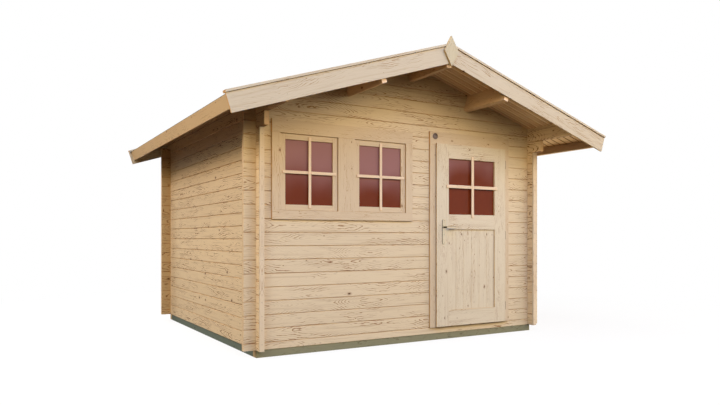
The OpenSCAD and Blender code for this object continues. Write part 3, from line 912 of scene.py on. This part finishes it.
def window_surround(node, finish):
    """Head board, bottom board, side boards and the wide board between the casements."""
    low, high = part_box(node)
    left_low, left_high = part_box("left_casement")
    right_low, right_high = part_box("right_casement")
    sill = left_low.z - CASEMENT_GAP
    head = left_high.z + CASEMENT_GAP
    uprights = [
        (low.x, left_low.x - CASEMENT_GAP),
        (left_high.x + CASEMENT_GAP, right_low.x - CASEMENT_GAP),
        (right_high.x + CASEMENT_GAP, high.x),
    ]
    parts = [(low.x, low.z, high.x, sill, ALONG_X), (low.x, head, high.x, high.z, ALONG_X)]
    parts += [(x0, sill, x1, head, ALONG_Z) for x0, x1 in uprights]
    flat_frame(f"{node}_boards", node, finish, parts)


def casement_frame(node, finish):
    """Two stiles and two rails round a pane."""
    low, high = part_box(node)
    inner_low = low.x + CASEMENT_RAIL
    inner_high = high.x - CASEMENT_RAIL
    parts = (
        (low.x, low.z, inner_low, high.z, ALONG_Z),
        (inner_high, low.z, high.x, high.z, ALONG_Z),
        (inner_low, low.z, inner_high, low.z + CASEMENT_RAIL, ALONG_X),
        (inner_low, high.z - CASEMENT_RAIL, inner_high, high.z, ALONG_X),
    )
    flat_frame(f"{node}_frame", node, finish, parts)


def glazing_bars(name, pane, width, finish, body="house"):
    """On both faces, over the sash round a pane given by its corners: an upright with two level bars."""
    low, high = pane
    centre = (low + high) / 2
    half = width / 2
    z0, z1 = centre.z - half, centre.z + half
    x0, x1 = centre.x - half, centre.x + half
    for kind, face, outward in (("bars", low.y, -1), ("inner_bars", high.y, 1)):
        y0, y1 = sorted((face, face + outward * BAR_THICKNESS))
        bars = [
            board((x0, y0, low.z - BAR_LAP), (x1, y1, high.z + BAR_LAP), ALONG_Z, BAR_EASED),
            board((low.x - BAR_LAP, y0, z0), (x0, y1, z1), ALONG_X, BAR_EASED),
            board((x1, y0, z0), (high.x + BAR_LAP, y1, z1), ALONG_X, BAR_EASED),
        ]
        join(f"{name}_{kind}", bars, finish, body)


def window(finish, bar_finish):
    """Both surrounds, both casement frames and the bars on both faces of the panes."""
    window_surround("window_trim", finish)
    window_surround("window_inner_trim", finish)
    margin = Vector((CASEMENT_RAIL, 0, CASEMENT_RAIL))
    for casement in ("left_casement", "right_casement"):
        casement_frame(casement, finish)
        low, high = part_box(casement)
        glazing_bars(casement, (low + margin, high - margin), CASEMENT_BAR, bar_finish)


# ---- Door ----


def door_surround(node, finish):
    """Two upright boards under a head board."""
    low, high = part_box(node)
    leaf_low, leaf_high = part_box("door_leaf")
    overlap = LIP - DOOR_GAP
    opening_low = leaf_low.x + overlap
    opening_high = leaf_high.x - overlap
    head = leaf_high.z - overlap
    parts = (
        (low.x, low.z, opening_low, head, ALONG_Z),
        (opening_high, low.z, high.x, head, ALONG_Z),
        (low.x, head, high.x, high.z, ALONG_X),
    )
    flat_frame(f"{node}_boards", node, finish, parts)


def lipped(low, high, axis, *sides):
    """A stile or rail of the leaf; on its outer sides the front layer reaches past the rest as a lip."""
    inner_low, inner_high = Vector(low), Vector(high)
    for side in sides:
        corner = inner_low if side is LEFT else inner_high
        corner -= side * LIP  # moves the corner itself
    piece = block(inner_low, inner_high)
    layer = low[1] + LIP_THICKNESS
    cut_across(piece, (0, layer, 0), (0, 1, 0))
    for side in sides:
        pull_out(piece, lambda c, n: n.dot(side) > SIDEWAYS and c.y < layer, side * LIP)
    ease(piece, LIP_EASED)
    mark_grain(piece, axis)
    return piece


def door_leaf(finish):
    """Stiles and rails with a boarded panel below the pane."""
    low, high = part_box("door_leaf")
    x0 = low.x + DOOR_STILE
    x1 = high.x - DOOR_STILE
    panel_low, panel_high, pane_low, pane_high = (low.z + height for height in DOOR_RAIL_HEIGHTS)
    pieces = [
        lipped(low, (x0, high.y, high.z), ALONG_Z, LEFT, UP),
        lipped((x1, low.y, low.z), high, ALONG_Z, RIGHT, UP),
        lipped((x0, low.y, low.z), (x1, high.y, panel_low), ALONG_X),
        lipped((x0, low.y, panel_high), (x1, high.y, pane_low), ALONG_X),
        lipped((x0, low.y, pane_high), (x1, high.y, high.z), ALONG_X, UP),
    ]
    width = (x1 - x0) / PANEL_BOARDS
    front = low.y + PANEL_RECESS
    back = high.y - PANEL_RECESS
    first = board((x0, front, panel_low), (x0 + width, back, panel_high), ALONG_Z, PANEL_EASED)
    pieces.append(first)
    pieces += [copied(first, (i * width, 0, 0)) for i in range(1, PANEL_BOARDS)]
    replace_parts(join("door_leaf_boards", pieces, finish, "door"), "door_leaf")


def door(finishes):
    """Both surrounds, the leaf and the bars on both faces of its pane."""
    door_surround("door_trim", finishes["trim"])
    door_surround("door_inner_trim", finishes["trim"])
    door_leaf(finishes["door"])
    low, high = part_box("door_leaf")
    pane = (
        Vector((low.x + DOOR_STILE, low.y, low.z + DOOR_RAIL_HEIGHTS[2])),
        Vector((high.x - DOOR_STILE, high.y, low.z + DOOR_RAIL_HEIGHTS[3])),
    )
    glazing_bars("door", pane, DOOR_BAR, finishes["bars"], "door")


# ---- Fittings ----


def button(centre, head, toward):
    """A low domed head on a face; toward is -1 for one that looks to the front and 1 to the rear."""
    radius, height = head
    x, y, z = centre
    deselect()
    bpy.ops.mesh.primitive_cylinder_add(
        vertices=HEAD_SIDES, radius=radius, depth=height, location=(x, y + toward * height / 2, z),
        rotation=(math.pi / 2, 0, 0),
    )
    bpy.ops.object.transform_apply()
    piece = bpy.context.object
    pick_faces(piece, lambda c, n: n.y * toward > SIDEWAYS)
    bpy.ops.mesh.inset(thickness=radius * DOME_INSET)
    bpy.ops.transform.translate(value=(0, toward * height * DOME_RISE, 0))
    close_edit()
    return piece


def screw(centre, toward):
    """A screw's head with its drive recess."""
    piece = button(centre, SCREW_HEAD, toward)
    radius = SCREW_HEAD[0]
    pick_faces(piece, lambda c, n: n.y * toward > SIDEWAYS)
    bpy.ops.mesh.inset(thickness=radius * RECESS_INSET, depth=-radius * RECESS_DEPTH)
    close_edit()
    return piece


def keyhole_in(centre, toward):
    """The slot in a lock cylinder's face, as a dark block that stands for the shade in the hole."""
    x, y, z = centre
    y0, y1 = sorted((y, y + toward * KEYHOLE_REACH))
    low = (x - KEYHOLE_HALF_WIDTH, y0, z - KEYHOLE_HALF_HEIGHT)
    keyhole = block(low, (x + KEYHOLE_HALF_WIDTH, y1, z + KEYHOLE_HALF_HEIGHT))
    ease(keyhole, KEYHOLE_EASED)
    return keyhole


def handle_fittings(finishes):
    """Screws, lock cylinders and keyholes on both handle plates."""
    low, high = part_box("handle_plates")
    x = (low.x + high.x) / 2
    lock_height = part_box("door_lever")[0].z - CYLINDER_DROP
    screws, cylinders, keyholes = [], [], []
    for face, toward in ((low.y, -1), (high.y, 1)):
        for z in (low.z + SCREW_MARGIN, high.z - SCREW_MARGIN):
            screws.append(screw((x, face, z), toward))
        centre = (x, face, lock_height)
        cylinders.append(button(centre, CYLINDER_FACE, toward))
        keyholes.append(keyhole_in(centre, toward))
    join("handle_screws", screws, finishes["handle"], "door")
    join("lock_cylinders", cylinders, finishes["handle"], "door")
    join("keyholes", keyholes, finishes["dark"], "door")


def nails(kind, places, low, high, finish):
    """Nail heads on the front and the rear face of a node's box, at places given as x and z."""
    x0, z0 = places[0]
    for end, face, toward in (("front", low.y, -1), ("rear", high.y, 1)):
        first = button((x0, face, z0), NAIL_HEAD, toward)
        heads = [first] + [copied(first, (x - x0, 0, z - z0)) for x, z in places[1:]]
        join(f"{end}_{kind}_nails", heads, finish)


def batten_nails(finish):
    """One nail through the battens into each side log."""
    low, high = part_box("corner_battens")
    courses = round((high.z - low.z) / COURSE)
    places = [(side * WALL_LINE, low.z + (i + 0.5) * COURSE) for side in (-1, 1) for i in range(courses)]
    nails("batten", places, low, high, finish)


def bargeboard_nails(finish):
    """Pairs of nails through the bargeboards into the purlins and the eave logs."""
    low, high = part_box("left_bargeboards")
    purlin_low, purlin_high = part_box("right_purlin")
    pair = (-BARGEBOARD_NAIL_PAIR, BARGEBOARD_NAIL_PAIR)
    places = []
    for x in (FIRST_BARGEBOARD_NAIL, (purlin_low.x + purlin_high.x) / 2, WALL_LINE):
        middle = high.z - x * math.tan(PITCH) - BARGEBOARD_NAIL_DROP
        places += [(side * x, middle + rise) for side in (-1, 1) for rise in pair]
    nails("bargeboard", places, low, high, finish)


# ---- Roof and floor ----


def laid_on_slope(pieces, height):
    """Turns pieces that lie level on the right down about the ridge line, and lifts them to a height."""
    for piece in pieces:
        piece.data.transform(Matrix.Rotation(PITCH, 4, "Y"))
        piece.data.transform(Matrix.Translation((0, 0, height)))


def roof_boards(finish):
    """Boards that run down each slope, with an open seam and eased edges between neighbours."""
    low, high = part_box("right_roof_boards")
    width = (high.y - low.y) / ROOF_BOARDS
    foot = high.x / math.cos(PITCH) - ROOF_BOARD_THICKNESS * math.tan(PITCH)
    start = (-ROOF_BOARD_THICKNESS, low.y + ROOF_SEAM / 2, 0)
    first = block(start, (foot, low.y + width - ROOF_SEAM / 2, ROOF_BOARD_THICKNESS))
    ease(first, ROOF_BEVEL, 1)
    mark_grain(first, ALONG_X)
    boards = [first] + [copied(first, (0, i * width, 0)) for i in range(1, ROOF_BOARDS)]
    laid_on_slope(boards, high.z - ROOF_BOARD_THICKNESS / math.cos(PITCH))
    right = join("right_roof_planks", boards, finish)
    cut_across(right, (0, 0, 0), (1, 0, 0), clear_inner=True, use_fill=True)
    left = join("left_roof_planks", [mirrored(right)], finish)
    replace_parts(right, "right_roof_boards")
    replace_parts(left, "left_roof_boards")


def clout_nails(low_y, high_y):
    """Rows of clout nails along the laps, lying level."""
    first = button((0, 0, 0), CLOUT_HEAD, 1)
    first.data.transform(Matrix.Rotation(math.pi / 2, 4, "X"))
    count = round((high_y - low_y) / CLOUT_SPACING)
    step = (high_y - low_y) / count
    heads = [
        copied(first, (reach - CLOUT_MARGIN, low_y + (i + 0.5) * step, rise))
        for reach, rise in zip(LAP_LINES, LAP_RISES)
        for i in range(count)
    ]
    bpy.data.objects.remove(first)
    return heads


def felt_laps(felt, zinc):
    """Upper sheets that lap over the lower ones, a cap over the ridge, and clout nails along the laps."""
    low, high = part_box("right_roof_felt")
    y0 = low.y + LAP_MARGIN
    y1 = high.y - LAP_MARGIN
    start = (-LAP_MARGIN, y0, -LAP_SUNK)
    sheets = [block(start, (reach, y1, rise)) for reach, rise in zip(LAP_LINES, LAP_RISES)]
    heads = clout_nails(y0, y1)
    laid_on_slope(sheets + heads, high.z)
    for name, pieces, finish, slot in (
        ("felt_sheets", sheets, felt, "roofing_felt"),
        ("felt_nails", heads, zinc, "hinge_steel"),
    ):
        right = join(f"right_{name}", pieces, finish)
        join(f"left_{name}", [mirrored(right)], finish)


def floor_boards(finish):
    """Floor boards from front to back."""
    low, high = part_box("floor_boards")
    width = (high.x - low.x) / FLOOR_BOARDS
    first = board(low, (low.x + width, high.y, high.z), ALONG_Y, FLOOR_EASED)
    boards = [first] + [copied(first, (i * width, 0, 0)) for i in range(1, FLOOR_BOARDS)]
    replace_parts(join("floor_planks", boards, finish), "floor_boards")


# ---- CAD nodes: finish, grain, look and the nodes that have them ----

CAD_WOODS = (
    ("Logs_front_and_rear", front_log_grain, SPRUCE,
     "front_sill_log front_wall_left front_wall_right front_gable rear_wall rear_gable"),
    ("Logs_of_the_sides", side_log_grain, SIDE_LIT_SPRUCE,
     "left_wall right_wall step_logs left_eave_log right_eave_log"),
    ("Purlin_wood", beam_grain(ALONG_Y, PURLIN_CELL), BEAM_SPRUCE, "ridge_purlin left_purlin right_purlin"),
    ("Eave_board_wood", beam_grain(ALONG_Y), EAVE_SPRUCE, "eave_fascias"),
    ("Upright_wood", beam_grain(ALONG_Z), POST_SPRUCE, "corner_battens door_frame window_frame"),
    ("Diamond_wood", beam_grain(ALONG_Z), DIAMOND_SPRUCE, "finials"),
    ("Gable_edge_wood", slope_grain, EDGE_SPRUCE,
     "left_bargeboards right_bargeboards left_cover_strips right_cover_strips"),
    ("Impregnated_across", beam_grain(ALONG_X, BASE_CELL), GREEN_PINE, "cross_beams floor_joists"),
    ("Impregnated_along", beam_grain(ALONG_Y, BASE_CELL), SIDE_PINE, "side_beams"),
)


def give(finish, nodes):
    """Puts a finish on CAD nodes, named in one string."""
    for name in nodes.split():
        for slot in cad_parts[name].material_slots:
            slot.material = finish


def finish_frame(finishes):
    """Gives every CAD node that still shows its own finish."""
    for name, grain_of, look, nodes in CAD_WOODS:
        give(wood(name, grain_of, look), nodes)
    give(finishes["felt"], "left_roof_felt right_roof_felt")
    give(finishes["glass"], "window_glass door_glass")
    give(finishes["handle"], "handle_plates door_lever")
    give(finishes["zinc"], "hinge_pins hinge_barrels")
    give(disc_finish(), "round_plate")


# ---- Stage ----

BACKGROUND_RAYS = ("Is Camera Ray", "Is Glossy Ray", "Is Transmission Ray")
GROUND_DARK = shade(60, 44, 26)
GROUND = shade(66, 49, 30)
GROUND_WHITENESS = 0.86
GROUND_FADE = (2.2, 6.0)
GROUND_SIZE = 60
GROUND_DROP = 0.001


def white_share(nodes):
    """1 where the eye, a mirror or glass looks at a background, and 0 where light comes from it."""
    eye, mirror, glass = (nodes.node("ShaderNodeLightPath", output=ray) for ray in BACKGROUND_RAYS)
    return eye.at_least(mirror).at_least(glass)


def floor_finish():
    """Pale floor: white to the eye, with the house's soft shadow, and dull for the light thrown back."""
    finish = Finish("Pale_floor")
    place = finish.place()
    x, y, z = finish.parts(place)
    away = finish.smooth((x * x + y * y).root(), *GROUND_FADE)
    dull = finish.blend(finish.noise(place, scale=40.0, detail=3.0), GROUND_DARK, GROUND)
    matt = finish.node("ShaderNodeBsdfDiffuse", {"Color": dull})
    white = finish.node("ShaderNodeEmission", {"Color": WHITE})
    pale = finish.node("ShaderNodeBsdfDiffuse", {"Color": OFF_WHITE})
    shadowed = finish.mixed(GROUND_WHITENESS + away * (1 - GROUND_WHITENESS), pale, white)
    return finish.closed(finish.mixed(white_share(finish), matt, shadowed))


def stage():
    """The floor, just under the beams."""
    deselect()
    bpy.ops.mesh.primitive_plane_add(size=GROUND_SIZE, location=(0, 0, -GROUND_DROP))
    ground = bpy.context.object
    ground.name = "Studio_floor"
    ground.data.materials.append(floor_finish())


def world_light():
    """A faint even sky; the eye, mirrors and glass meet plain white."""
    world = bpy.data.worlds.new("Studio_sky")
    bpy.context.scene.world = world
    world.use_nodes = True
    sky = Nodes(world.node_tree)
    light, white = (sky.node("ShaderNodeBackground", {"Color": colour}) for colour in (SKY, WHITE))
    sky.node("ShaderNodeOutputWorld", {"Surface": sky.mixed(white_share(sky), light, white)})


def new_lamp(name, shape, power, colour):
    """A flat lamp that metal and glass don't mirror."""
    data = bpy.data.lights.new(name, "AREA")
    data.shape = shape
    data.energy = power
    data.color = colour
    lamp = bpy.data.objects.new(name, data)
    lamp.visible_glossy = False
    bpy.context.collection.objects.link(lamp)
    return lamp


def soft_light(name, bearing, height, size, power, colour):
    """Round lamp that looks at the house from a bearing and a height."""
    lamp = new_lamp(name, "DISK", power, colour)
    lamp.data.size = size
    turn, rise = math.radians(bearing), math.radians(height)
    away = Vector((-math.sin(turn) * math.cos(rise), -math.cos(turn) * math.cos(rise), math.sin(rise)))
    lamp.location = LAMP_AIM + away * LAMP_DISTANCE
    lamp.rotation_euler = away.to_track_quat("Z", "Y").to_euler()


def bounce_light():
    """Light thrown up from the ground beside the right-hand eave."""
    lamp = new_lamp("Ground_right", "RECTANGLE", BOUNCE_WATTS, BOUNCE_COLOUR)
    lamp.data.size, lamp.data.size_y = BOUNCE_SIZE
    lamp.visible_camera = False
    lamp.location = BOUNCE_PLACE
    lamp.rotation_euler = (math.pi, 0, 0)


def lights():
    """Warm light from low down and cool light from above, on each side that shows."""
    world_light()
    for lamp in LAMPS:
        soft_light(*lamp)
    bounce_light()


def camera():
    """Level camera with its horizon a little under the middle of the picture."""
    data = bpy.data.cameras.new("Camera")
    data.sensor_width = SENSOR
    data.lens = LENS
    data.shift_y = EYE_SHIFT
    eye = bpy.data.objects.new("Camera", data)
    bpy.context.collection.objects.link(eye)
    eye.location = EYE
    eye.rotation_euler = (math.pi / 2, 0, math.radians(EYE_TURN))
    bpy.context.scene.camera = eye


# ---- Making ----


def main():
    """Makes the finishes, the stage and the pieces; the order of the pieces settles each board's seed."""
    finishes = {
        "trim": wood("Trim_boards", own_grain, TRIM_SPRUCE),
        "door": wood("Door_boards", own_grain, DOOR_SPRUCE),
        "bars": wood("Glazing_bar_wood", own_grain, BAR_SPRUCE),
        "floor": wood("Floor_boards", own_grain, BOARD_SPRUCE),
        "roof": wood("Roof_boards", own_grain, SOFFIT_SPRUCE),
        "felt": felt_finish(),
        "glass": glass_finish(),
        "handle": metal_finish("Satin_nickel", NICKEL, 0.36, 0.15),
        "zinc": metal_finish("Bright_zinc", ZINC, 0.42, 0.1),
        "dark": keyhole_shade_finish(),
    }
    camera()
    lights()
    stage()
    finish_frame(finishes)
    window(finishes["trim"], finishes["bars"])
    door(finishes)
    handle_fittings(finishes)
    batten_nails(finishes["zinc"])
    bargeboard_nails(finishes["zinc"])
    roof_boards(finishes["roof"])
    felt_laps(finishes["felt"], finishes["zinc"])
    floor_boards(finishes["floor"])
    bpy.context.scene.view_settings.view_transform = "Standard"


main()
